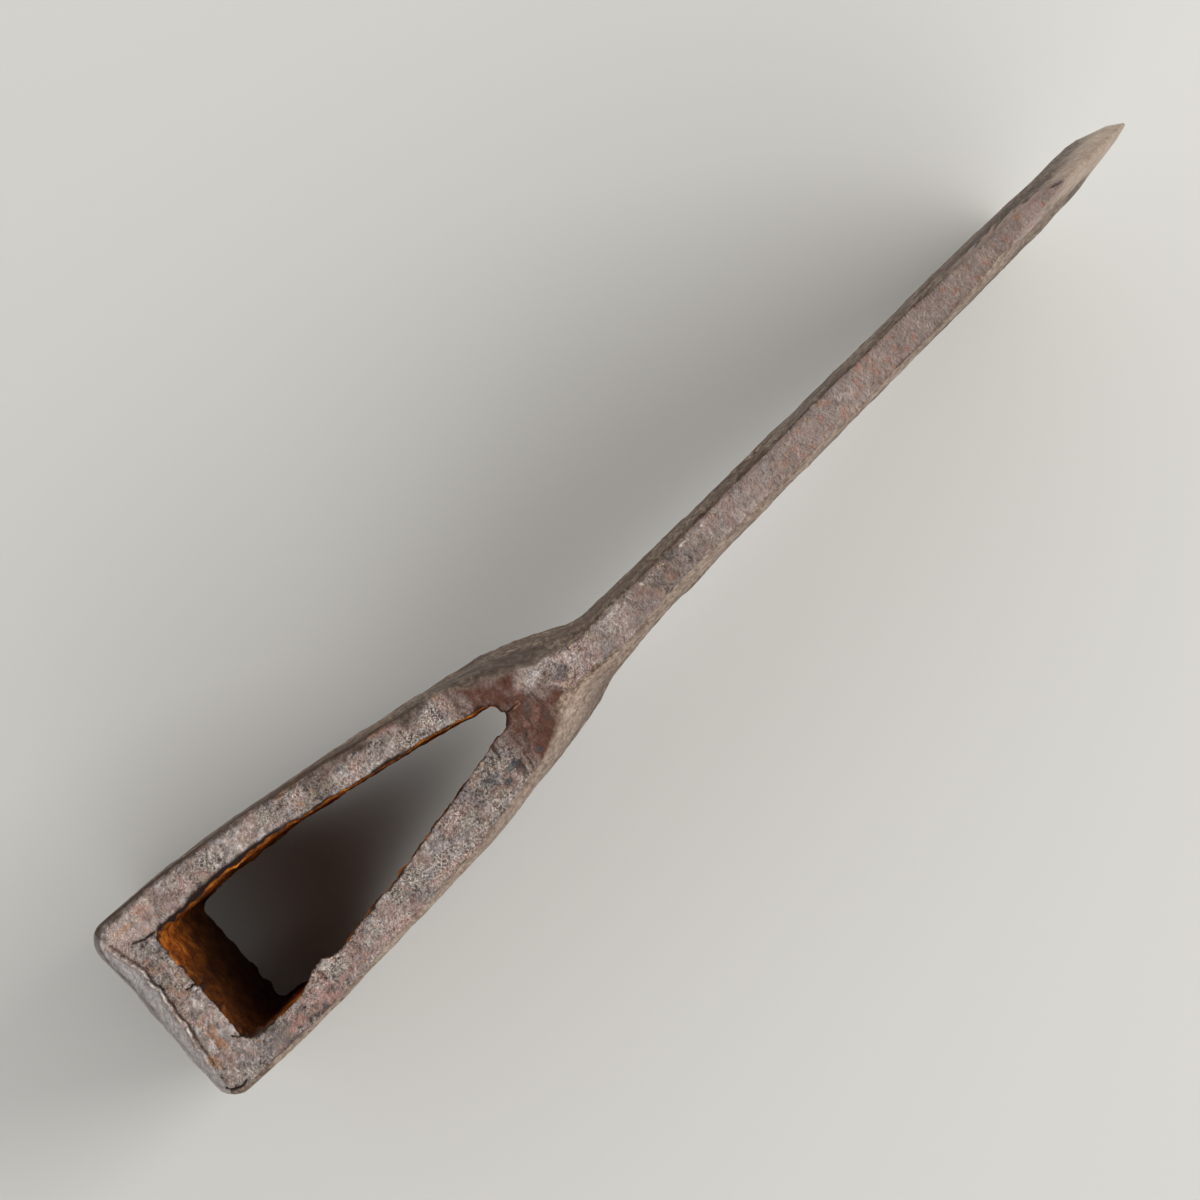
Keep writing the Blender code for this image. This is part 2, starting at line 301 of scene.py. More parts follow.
borders = {
    "line": 0.50,            # dark line where the rim meets the eye
    "pollLine": 0.95,        # and its width beside the poll, on the leaning side
    "shade": 0.9,            # width of the painted shade: a brown border where the rim rolls over to the cheeks
    "wideShade": 2.4,        # and its width further forward on the leaning side
    # near the heel the top looks wider than it is flat: between these, across
    "heelBand": (3.3, 6.8),
    "heelFrom": (186.0, 195.0), "heelTo": (221.0, 209.0),
    "heelEnd": (213.5, 210.0),
    "heelTurn": 0.08,        # the band's lower border leans away by this towards the edge
    "wideFrom": (44.0, 50.0), "wideTo": (80.0, 70.0),
    "lip": 0.45,             # width of the painted highlight along the blade's narrow side, on a slightly raised lip
    "lipFrom": (98.0, 106.0), "lipTo": (150.0, 128.0),
}

crumples = [
    # along, across, half length, half width, height of the crumpled flakes
    (30.0, -13.2, 5.5, 2.6, 0.42), (30.0, 15.5, 8.0, 2.2, 0.16), (8.5, -2.0, 2.6, 11.0, 0.22),
    (99.0, 0.0, 5.0, 2.4, 0.14), (5.0, -14.0, 4.0, 3.0, 0.16),
]

nose = {
    # fine ridges run across the head round the nose of the eye, over red-brown iron
    "from": (73.0, 77.0), "to": (94.0, 88.0),
    "spacing": 0.75, "lean": 0.16, "height": 0.20,
    "redFrom": (74.5, 82.5), "redTo": (95.0, 87.0), "lateOnPlainSide": 0.35, "longOnPlainSide": 1.1,
}


def rolledShoulder(skin, marks):
    out = np.maximum(0, skin.fromLine(shoulder["line"], 0.5, 3.0) * -1)
    zone = rise(73.0, 78.0, skin.along) * rise(101.0, 96.0, skin.along) * (skin.across > 1.0)
    out = np.minimum(out, 6.0) * zone
    rolled = rise(0.0, 1.6, out) * rise(14.0, 6.0, skin.depth)
    marks["rim"] *= 1 - rolled
    # painted shade over the rolled-over part, which turns away from the light, with darker lines that follow
    # the roll
    flow = np.sin(shoulder["flow"] * out + 2.2 * skin.lumps(7.0, 2, 63.0))
    lines = (0.55 + 0.35 * rise(-0.2, 0.8, flow)) * rolled
    marks["shade"] = np.maximum(marks["shade"], lines)
    return -shoulder["fall"] * out**2 * np.exp(-skin.depth / shoulder["fallDepth"])


def rimBorders(skin, marks, flat, eye, side, walls):
    top = (flat > 0.5) & (skin.depth < 12) & (skin.normal[:, 2] > 0)
    fromWall = skin.nearest(top, (eye > 0.5) & (skin.depth < 3) & (skin.normal[:, 2] < 0.5))
    fromCheek = skin.nearest(top, (side > 0.5) & (skin.normal[:, 2] > -0.2))
    ragged = 1 + 0.5 * skin.lumps(3.0, 2, 33.0)
    leaning = skin.across > 0.0
    nearPoll = rise(62, 26, skin.along) * rise(7.5, 9.5, skin.along)
    width = borders["line"] + (borders["pollLine"] - borders["line"]) * nearPoll * leaning
    patchy = 0.35 + 0.4 * rise(-0.4, 0.5, skin.lumps(4.0, 2, 34.0))
    strength = np.where(leaning, np.maximum(patchy, nearPoll), patchy)
    strength *= 0.4 + 0.6 * rise(10.5, 12.0, skin.along)
    line = np.exp(-((fromWall / (width * ragged)) ** 2)) * (fromWall < 3) * strength
    lipOfWall = walls * rise(0.97, 0.80, skin.normal[:, 2]) * rise(1.0, 0.4, skin.depth)
    marks["seam"] = np.maximum(marks["seam"], np.maximum(line * top, 0.62 * lipOfWall))
    # painted shade: a brown border along the rim's outer edge, full on the leaning side, which is away from
    # the light, and weak on the other
    wide = rise(*borders["wideFrom"], skin.along) * rise(*borders["wideTo"], skin.along) * leaning
    width = (borders["shade"] + (borders["wideShade"] - borders["shade"]) * wide) * ragged
    patchy = 0.65 + 0.35 * skin.lumps(2.2, 2, 35.0)
    fade = rise(76, 72, skin.along) + (skin.along > 92) * rise(217, 207, skin.along) * 0.42
    fade = np.where(leaning | (skin.along < 92), fade, 0)
    shade = rise(1.0, 0.3, fromCheek / width) * top * fade * patchy * np.where(leaning, 1.0, 0.4)
    # painted shade on the leaning side's rounded edge, which faces away from the light
    rounding = rise(3.0, 1.2, skin.depth) * side * leaning * rise(-1.0, 3.0, skin.along) * fade
    shade = np.maximum(shade, 0.95 * rounding)
    low, high = borders["heelBand"]
    wander = skin.across + 0.3 * skin.lumps(1.6, 2, 39.0)
    heel = rise(*borders["heelFrom"], skin.along)
    low = low - borders["heelTurn"] * np.maximum(0, skin.along - 198)
    # painted shade down the leaning flank beside the heel
    below = rise(high, high + 0.6, wander) * rise(*borders["heelTo"], skin.along)
    below *= rise(26, 10, skin.depth + 5 * skin.lumps(9.0, 2, 40.0))
    shade = shade * (1 - heel) + heel * below
    marks["shade"] = np.maximum(marks["shade"], shade)
    onHeel = heel * rise(high + 0.3, high, wander) * rise(low - 0.3, low, wander) * rise(8.0, 4.0, skin.depth)
    marks["rim"] = np.maximum(marks["rim"], onHeel)
    neck = rise(88, 92, skin.along) * rise(108, 103, skin.along)
    marks["rim"] *= 1 - neck * rise(-4.1, -4.8, skin.across + 0.3 * skin.lumps(3.0, 2, 72.0))
    marks["bevel"] *= 1 - onHeel * rise(*borders["heelEnd"], skin.along)
    # painted highlight along the blade's narrow side, on a slightly raised lip
    onBlade = rise(*borders["lipFrom"], skin.along) * rise(*borders["lipTo"], skin.along)
    middle = 0.5 + (skin.along - 110) * 0.06
    lip = np.exp(-(((fromCheek - 0.9) / borders["lip"]) ** 2)) * onBlade * (skin.across > middle - 1.2)
    lip = lip * rise(-0.3, 0.5, skin.lumps(1.8, 2, 36.0)) * top
    marks["bright"] = np.maximum(marks["bright"], lip)
    marks["bare"] = np.maximum(marks["bare"], 1.2 * lip * rise(-0.3, 0.4, skin.lumps(1.0, 2, 38.0, top)))
    return 0.15 * lip - 0.15 * line * top


def noseOfEye(skin, marks, onTop):
    zone = rise(*nose["from"], skin.along) * rise(*nose["to"], skin.along) * onTop
    zone *= 0.55 + 0.6 * rise(-0.5, 0.3, skin.lumps(4.0, 2, 64.0, zone))
    run = skin.along + nose["lean"] * np.abs(skin.across) + 0.5 * skin.lumps(3.0, 2, 65.0, zone)
    places = np.stack([run / nose["spacing"], skin.across * 0.16, skin.up * 0.1], axis=1)
    found = np.zeros(len(zone))
    near = zone > 0
    found[near] = [1 - 3.2 * abs(noise.noise(p)) for p in places[near].tolist()]
    marks["shade"] = np.maximum(marks["shade"], 0.72 * zone * rise(0.2, -0.7, found))
    start = skin.along + nose["lateOnPlainSide"] * np.minimum(0, skin.across)
    start = start + 0.8 * skin.lumps(2.5, 2, 67.0)
    last = skin.along + nose["longOnPlainSide"] * np.clip(skin.across + 0.5, -5, 2)
    last = last + 2.0 * skin.lumps(3.5, 2, 68.0)
    red = rise(*nose["redFrom"], start) * rise(*nose["redTo"], last)
    red *= 1.15 + 0.35 * skin.lumps(3.0, 3, 69.0) - 0.25 * rise(-0.1, -0.6, found)
    marks["red"] = np.maximum(marks["red"], red * rise(8.0, 4.0, skin.depth))
    marks["smooth"] = np.maximum(marks["smooth"], 0.35 * red)
    return nose["height"] * zone * found


brinks = {
    # how far the inner edges of the rim are nibbled, and the size of a bite
    "top": 0.30, "topBite": 2.4,
    "pollTop": 0.75, "pollTopBite": 1.7,
    "foot": 0.2, "pollFoot": 0.35, "footBite": 3.6,
    "lump": (12.0, -12.6), "lumpHeight": 1.2,    # iron left in a corner at the foot of the eye
}

edge = {
    # depth and size of the nicks in the cutting edge; a greater share leaves less of it whole
    "nicks": 0.22, "nickSize": (5.0, 50.0, 3.0), "nickShare": 0.1,
}

eyeShading = {
    # painted shade: how much darker the rust is painted down the eye, where shade falls
    "poll": 0.9, "plainSide": 0.85,          # on the poll's wall, and there away from the lean
    # less painted shade on the leaning side's wall, which faces the light, more on the other
    "leaningWall": 0.22, "plainWall": 0.30,
    "nose": 0.35,                            # in patches
}


def nibbleBrinks(skin, relief, eye):
    brink = rise(4.0, 0.5, skin.depth) * eye
    relief += brink * brinks["top"] * skin.lumps(brinks["topBite"], 2, 18.0)
    onPoll = rise(18.0, 13.0, skin.along)
    relief += brink * brinks["pollTop"] * onPoll * skin.lumps(brinks["pollTopBite"], 2, 19.0)
    brink = rise(7.0, 0.5, skin.height) * eye
    onPoll = rise(20.0, 13.0, skin.along)
    deep = brinks["foot"] + brinks["pollFoot"] * onPoll
    relief += brink * deep * skin.lumps(brinks["footBite"], 3, 21.0)
    along, across = brinks["lump"]
    lump = np.hypot(skin.along - along, skin.across - across)
    relief += brinks["lumpHeight"] * rise(2.4, 0.4, lump) * rise(4.0, 1.0, skin.height) * eye


def pushes(skin):
    # the fold and the rims stand further into the eye than the plain shape
    push = np.where(skin.along < fold["along"],
                    np.exp(-(((skin.along - fold["along"]) / fold["before"]) ** 2)),
                    np.exp(-(((skin.along - fold["along"]) / fold["after"]) ** 2)))
    push *= fold["push"] * rise(fold["edge"] - fold["spread"], fold["edge"], skin.across)
    push *= (skin.across < 0) * rise(fold["down"], 0.0, skin.depth)
    move = np.zeros((len(skin.place), 3))
    move[:, 1] = push * (1 + 0.25 * skin.lumps(2.0, 2, 24.0))
    inward = 0.5 + 0.4 * rise(26, 32, skin.along) * rise(52, 42, skin.along)
    inward *= rise(24, 30, skin.along) * rise(84, 76, skin.along) * rise(-16, -11, skin.across)
    move[:, 1] += inward * (skin.across < 0) * (skin.across > -16) * rise(9.0, 0.0, skin.depth)
    inward = np.interp(skin.along, *np.array(narrower["places"]).T) * (skin.across > 0)
    inward *= rise(narrower["from"], narrower["full"], skin.across) * rise(86, 76, skin.along)
    move[:, 1] -= inward * rise(5, 9, skin.along) * np.clip(1 - skin.depth / narrower["down"], 0, 1)
    return move


def nickEdge(skin, move):
    keen = rise(3.0, 0.0, skin.behindEdge)
    nicks = skin.lumps(edge["nickSize"], 2, 27.0) + edge["nickShare"]
    move[:, 0] -= keen * edge["nicks"] * np.maximum(0, nicks)


# painted shade in the eye: down the poll's wall, most away from the lean where the cheek shades it, less on
# the wall that faces the light, and in patches towards the nose
def paintedShadeInEye(skin, eye):
    onPoll = rise(18.0, 13.0, skin.along)
    down = 1 - eyeShading["poll"] * rise(5.0, 60.0, skin.depth)
    darker = 1 - down * (1 - eyeShading["plainSide"] * rise(9.5, 1.0, skin.across))
    lit = np.where(skin.across > 0, eyeShading["leaningWall"], eyeShading["plainWall"])
    sunk = onPoll * darker + (1 - onPoll) * lit * rise(14.0, 75.0, skin.depth)
    patchy = rise(-0.5, 0.6, skin.lumps((2.5, 8.0, 4.0), 2, 75.0, eye))
    return np.maximum(sunk, eyeShading["nose"] * patchy * rise(45.0, 70.0, skin.along))


def sculpt(skin):
    # relief in millimetres along the normal, whole moves, and the marks that the finish reads
    count = len(skin.place)
    names = ("seam", "bare", "bright", "strip", "shade", "rust", "blue", "red", "rose", "slate", "smooth",
             "mellow")
    marks = {name: np.zeros(count) for name in names}
    flat = rise(0.45, 0.85, np.abs(skin.normal[:, 2]))
    onTop = flat * (skin.normal[:, 2] > 0)
    inward = skin.normal[:, 1] * np.sign(skin.across)
    inside = (skin.along > 9) & (skin.along < 86) & (np.abs(skin.across) < 14.5)
    walls = inside & ((inward < 0) | (np.abs(skin.normal[:, 0]) > 0.75) & (np.abs(skin.across) < 13.2))
    eye = walls * (1 - flat)
    side = np.clip(1 - flat - eye, 0, 1)
    ground = iron["bevel"] + (iron["longBevel"] - iron["bevel"]) * rise(0.2, 0.7, -skin.normal[:, 1])
    behind = skin.behindEdge + 1.2 * skin.lumps(9.0, 2, 2.0) + 0.6 * skin.lumps(2.0, 2, 3.0)
    bevel = rise(ground + iron["bevelFade"], ground - 1, behind)
    calm = 1 - iron["bevelCalm"] * bevel

    onRims = rise(9, 15, skin.along) * rise(79, 73, skin.along) * onTop
    marks["bright"] = onRims * 0.35 * rise(-0.5, 0.5, skin.lumps(6.0, 2, 61.0) - 0.25 * (skin.across > 0))
    for name, along, across, wide, deep, strength in blots:
        patch = strength * skin.blot(along, across, wide, deep) * rise(8.0, 3.0, skin.depth)
        marks[name] = np.maximum(marks[name], patch)

    band = 0.30 * rise(98, 108, skin.along) + 0.28 * rise(110, 170, skin.along)
    marks["smooth"] = np.maximum(marks["smooth"], band)
    mellow = 0.25 * rise(100, 110, skin.along) + 0.65 * rise(120, 180, skin.along)
    marks["mellow"] = np.maximum(marks["mellow"], mellow)

    relief = iron["hammerHeight"] * skin.lumps(iron["hammerSize"], 2)
    grain = skin.lumps(iron["grainSize"], 2, 4.0, rise(12, 8, skin.depth))
    crinkle = skin.ridges(iron["crinkleSize"], 6.0)
    scaly = (1 + iron["roughMore"] * marks["bright"]) * (1 - 0.6 * marks["smooth"])
    relief += flat * scaly * (iron["crinkleHeight"] * crinkle + iron["grainHeight"] * grain)
    relief += side * iron["layerHeight"] * skin.lumps(iron["layerSize"], 3, 9.0, side)
    relief += side * iron["waveHeight"] * skin.lumps(iron["waveSize"], 2, 15.0, side)
    relief += side * (0.5 * iron["grainHeight"] * grain + 0.4 * iron["crinkleHeight"] * crinkle)
    dented = rise(0.0, 0.45, skin.lumps(iron["dentSize"], 2, 81.0, side))
    relief -= side * iron["dentDepth"] * dented * rise(8.0, 20.0, skin.depth)
    cheekPits = side * iron["cheekPitDepth"] * skin.pits(*iron["cheekPits"], 83.0)
    relief -= cheekPits * rise(12.0, 24.0, skin.depth)
    relief += eye * iron["crustHeight"] * skin.lumps(iron["crustSize"], 3, 12.0, eye)
    relief += eye * iron["grainHeight"] * grain
    relief -= iron["pitDepth"] * skin.pits(*iron["pits"]) * (1 - eye)
    relief += noseOfEye(skin, marks, onTop)
    flakes = skin.ridges(1.9, 41.0, onTop) + 0.6 * skin.ridges(0.9, 43.0, onTop)
    for along, across, wide, deep, tall in crumples:
        relief += tall * flakes * skin.blot(along, across, wide, deep) * onTop
    relief *= calm

    relief += lipsAndSeams(skin, marks)
    marks["rim"] = flat.copy()
    marks["bevel"] = bevel
    shoulderFall = rolledShoulder(skin, marks)
    relief += rimBorders(skin, marks, flat, eye, side, walls)
    for along, across, radius, depth in dents:
        hollow = np.exp(-(((skin.along - along) ** 2 + (skin.across - across) ** 2) / radius**2)) * onTop
        relief -= depth * hollow

    nibbleBrinks(skin, relief, eye)
    move = pushes(skin)
    move[:, 2] = shoulderFall
    nickEdge(skin, move)

    marks["height"] = np.clip(0.5 + 1.6 * relief, 0, 1)
    marks["eye"] = eye
    marks["sunk"] = paintedShadeInEye(skin, eye)
    # painted light: the sides that face the light, away from the lean, are painted paler near the top
    pale = rise(0.2, 0.7, -skin.normal[:, 1]) * rise(34.0, 5.0, skin.depth)
    marks["pale"] = pale * side * rise(8.0, 12.0, skin.along)
    return relief, move, marks


def asObject(name, mesh):
    made = bpy.data.objects.new(name, mesh)
    bpy.context.scene.collection.objects.link(made)
    return made


def shaped(obj):
    # the mesh as its modifiers leave it; the object goes
    bpy.context.view_layer.update()
    mesh = bpy.data.meshes.new_from_object(obj.evaluated_get(bpy.context.evaluated_depsgraph_get()))
    bpy.data.objects.remove(obj)
    return mesh


def mergedCopy(node):
    bm = bmesh.new()
    bm.from_mesh(node.data)
    bmesh.ops.remove_doubles(bm, verts=bm.verts, dist=1e-6)
    mesh = bpy.data.meshes.new("plainIron")
    bm.to_mesh(mesh)
    bm.free()
    return mesh


def weigh(obj, name, weights, steps=24):
    # a vertex group holding these weights, in even steps
    group = obj.vertex_groups.new(name=name)
    level = np.round(weights * steps).astype(int)
    for k in range(1, steps + 1):
        group.add(np.nonzero(level == k)[0].tolist(), k / steps, "REPLACE")


def evenGrid(plain):
    # an even mesh laid on the plain shape, which keeps the shape's size and its thin edge
    swollen = asObject("swollen", plain.copy())
    swell = swollen.modifiers.new("swell", "DISPLACE")
    swell.strength = forging["swell"] * mm
    swell.mid_level = 0
    grid = swollen.modifiers.new("grid", "REMESH")
    grid.mode = "VOXEL"
    grid.voxel_size = forging["grid"] * mm
    target = asObject("target", plain)
    back = swollen.modifiers.new("back", "SHRINKWRAP")
    back.wrap_method = "NEAREST_SURFACEPOINT"
    back.target = target
    mesh = shaped(swollen)
    bpy.data.objects.remove(target)
    return mesh


def finerTop(mesh):
    # every square near the top is cut in four
    skin = Skin(mesh)
    atHeel = rise(*forging["heel"], skin.along)
    deep = skin.depth > forging["fineTo"] + (forging["heelFineTo"] - forging["fineTo"]) * atHeel
    bm = bmesh.new()
    bm.from_mesh(mesh)
    bm.verts.ensure_lookup_table()
    chosen = [e for e in bm.edges if not (deep[e.verts[0].index] and deep[e.verts[1].index])]
    bmesh.ops.subdivide_edges(bm, edges=chosen, cuts=1, use_grid_fill=True)
    bmesh.ops.triangulate(bm, faces=[f for f in bm.faces if len(f.verts) > 4])
    bm.to_mesh(mesh)
    bm.free()
    return mesh


def dulled(mesh):
    skin = Skin(mesh)
    worn = asObject("worn", mesh)
    weigh(worn, "worn", rise(forging["keenFrom"], forging["keenTo"], skin.behindEdge))
    wear = worn.modifiers.new("wear", "SMOOTH")
    wear.factor = forging["wearEach"]
    wear.iterations = forging["wear"]
    wear.vertex_group = "worn"
    return shaped(worn)


def sculpted(mesh):
    skin = Skin(mesh)
    relief, move, marks = sculpt(skin)
    place = skin.place + relief[:, None] * skin.normal + move
    place = (place + (pollFace / mm, 0, 0)) * mm
    mesh.vertices.foreach_set("co", place.astype(np.float32).ravel())
    for name, values in marks.items():
        layer = mesh.attributes.new(name, "FLOAT", "POINT")
        layer.data.foreach_set("value", np.clip(values, 0, 1).astype(np.float32))
    mesh.update()
    return skin


def kept(mesh):
    # nothing stands outside the plain shape's box
    place = np.empty(len(mesh.vertices) * 3, np.float32)
    mesh.vertices.foreach_get("co", place)
    place = np.clip(place.reshape(-1, 3), np.array(cadBox[0]), np.array(cadBox[1]))
    mesh.vertices.foreach_set("co", place.astype(np.float32).ravel())
    mesh.update()
    return mesh


def thinned(mesh, skin):
    thin = asObject("thin", mesh)
    atHeel = rise(*forging["heel"], skin.along) * (forging["heelFineTo"] - forging["fineTo"])
    weigh(thin, "deep", rise(forging["thinFrom"], forging["thinTo"], skin.depth - atHeel))
    joined = thin.modifiers.new("joined", "DECIMATE")
    joined.ratio = min(1.0, forging["triangles"] / (2 * len(mesh.polygons)))
    joined.vertex_group = "deep"
    joined.vertex_group_factor = forging["thinning"]
    joined.use_collapse_triangulate = True
    return shaped(thin)


def forgeHead():
    mesh = evenGrid(mergedCopy(frame["nodes"]["axe_head"]))
    print("even grid laid:", len(mesh.vertices), "vertices")
    mesh = finerTop(dulled(mesh))
    print("top cut finer:", len(mesh.vertices), "vertices")
    skin = sculpted(mesh)
    print("relief hammered in")
    mesh = kept(thinned(mesh, skin))
    mesh.name = "forgedHead"
    mesh.shade_smooth()
    print("thinned to", len(mesh.polygons), "triangles")
    head = asObject("forgedHead", mesh)
    head.vertex_groups.clear()
    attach(head, "root")
    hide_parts("axe_head")
    return head


class Wire:
    # a node's output that can stand in sums
    def __init__(self, finish, socket):
        self.finish = finish
        self.socket = socket

    def math(self, operation, *others):
        values = dict(enumerate((self,) + others))
        return self.finish.node("ShaderNodeMath", {"operation": operation}, values)

    def __add__(self, other):
        return self.math("ADD", other)

    def __sub__(self, other):
        return self.math("SUBTRACT", other)

    def __rsub__(self, other):
        return self.finish.node("ShaderNodeMath", {"operation": "SUBTRACT"}, {0: other, 1: self})

    def __mul__(self, other):
        return self.math("MULTIPLY", other)

    __radd__ = __add__
    __rmul__ = __mul__

    def orMore(self, other):
        return self.math("MAXIMUM", other)

    def between(self, low, high):
        # 0 below low, 1 above high, smooth between
        values = {"Value": self, "From Min": low, "From Max": high}
        return self.finish.node("ShaderNodeMapRange", {"interpolation_type": "SMOOTHSTEP"}, values)


class Nodes:
    def __init__(self, tree):
        self.tree = tree

    def node(self, kind, settings={}, values={}, output=0):
        made = self.tree.nodes.new(kind)
        for name, value in settings.items():
            if name == "stops":
                self.setStops(made.color_ramp, value)
            else:
                setattr(made, name, value)
        for name, value in values.items():
            self.feed(made.inputs[name], value)
        return Wire(self, made.outputs[output])

    def feed(self, socket, value):
        if isinstance(value, Wire):
            self.tree.links.new(value.socket, socket)
        else:
            socket.default_value = value

    def setStops(self, ramp, stops):
        while len(ramp.elements) < len(stops):
            ramp.elements.new(1.0)
        for element, (position, colour) in zip(ramp.elements, stops):
            element.position = position
            element.color = (*colour, 1)

    def mix(self, share, first, second):
        values = {0: share, 6: self.colour(first), 7: self.colour(second)}
        return self.node("ShaderNodeMix", {"data_type": "RGBA"}, values, 2)

    def colour(self, value):
        return value if isinstance(value, Wire) else (*value, 1)

    def ramp(self, value, stops):
        return self.node("ShaderNodeValToRGB", {"stops": stops}, {"Fac": value}, "Color")


class Finish(Nodes):
    def __init__(self, name):
        self.material = bpy.data.materials.new(name)
        self.material.use_nodes = True
        super().__init__(self.material.node_tree)
        self.shader = self.tree.nodes["Principled BSDF"]
        place = self.node("ShaderNodeTexCoord", output="Object")
        scaled = {0: place, 1: (1 / mm, 1 / mm, 1 / mm)}
        self.place = self.node("ShaderNodeVectorMath", {"operation": "MULTIPLY"}, scaled)

    def mark(self, name):
        return self.node("ShaderNodeAttribute", {"attribute_name": name}, output="Fac")

    def grain(self, size, detail=2.0, stretch=None, shift=0.0, roughness=0.5):
        # noise from 0 to 1, with a grain to every size in millimetres
        place = self.place
        if stretch or shift:
            values = {"Vector": place, "Location": (shift, shift, shift), "Scale": stretch or (1, 1, 1)}
            place = self.node("ShaderNodeMapping", {}, values)
        values = {"Vector": place, "Scale": 1 / size, "Detail": detail, "Roughness": roughness}
        return self.node("ShaderNodeTexNoise", {}, values, "Fac")

    def ridge(self, size, sharpness, shift=0.0):
        # thin winding lines, 1 along their crest
        return 1 - (self.grain(size, 1.0, shift=shift) * 2 - 1).math("ABSOLUTE") * sharpness

    def give(self, **values):
        for name, value in values.items():
            self.feed(self.shader.inputs[name.replace("_", " ")], value)


rimColours = {
    "dark": (0.060, 0.042, 0.035),
    "middle": (0.200, 0.156, 0.139),
    "light": (0.49, 0.425, 0.39),
    "brown": (0.085, 0.032, 0.020),
    "pink": (0.29, 0.165, 0.135),
    "rose": (0.36, 0.195, 0.165),
    "salmon": (0.42, 0.205, 0.145),
    "lilac": (0.28, 0.25, 0.255),
    "slate": (0.150, 0.122, 0.118),
    "mellow": (0.49, 0.365, 0.315),
    "olive": (0.25, 0.215, 0.155),
    "blue": (0.035, 0.045, 0.056),
    "rust": (0.38, 0.185, 0.095),
    "seam": (0.018, 0.010, 0.008),
    "shade": (0.055, 0.033, 0.023),
    "bare": (0.70, 0.645, 0.565),
    "strip": (0.58, 0.54, 0.53),
}

sideColours = {
    "stops": [(0.40, (0.050, 0.029, 0.019)), (0.50, (0.182, 0.123, 0.086)), (0.60, (0.46, 0.35, 0.26))],
    "grey": (0.160, 0.134, 0.116),
    "brown": (0.110, 0.060, 0.040),
    # paler tones painted where the sides face the light
    "pale": [(0.41, (0.24, 0.162, 0.118)), (0.60, (0.56, 0.435, 0.355))],
}

rustColours = {
    "stops": [(0.32, (0.050, 0.012, 0.002)), (0.46, (0.34, 0.085, 0.008)), (0.64, (0.80, 0.26, 0.030))],
    "brown": (0.085, 0.026, 0.006),
    # near-black for the painted shade down the eye
    "deep": (0.018, 0.0045, 0.0006),
}

bevelColours = {
    "stops": [(0.34, (0.27, 0.18, 0.128)), (0.66, (0.57, 0.435, 0.33))],
}


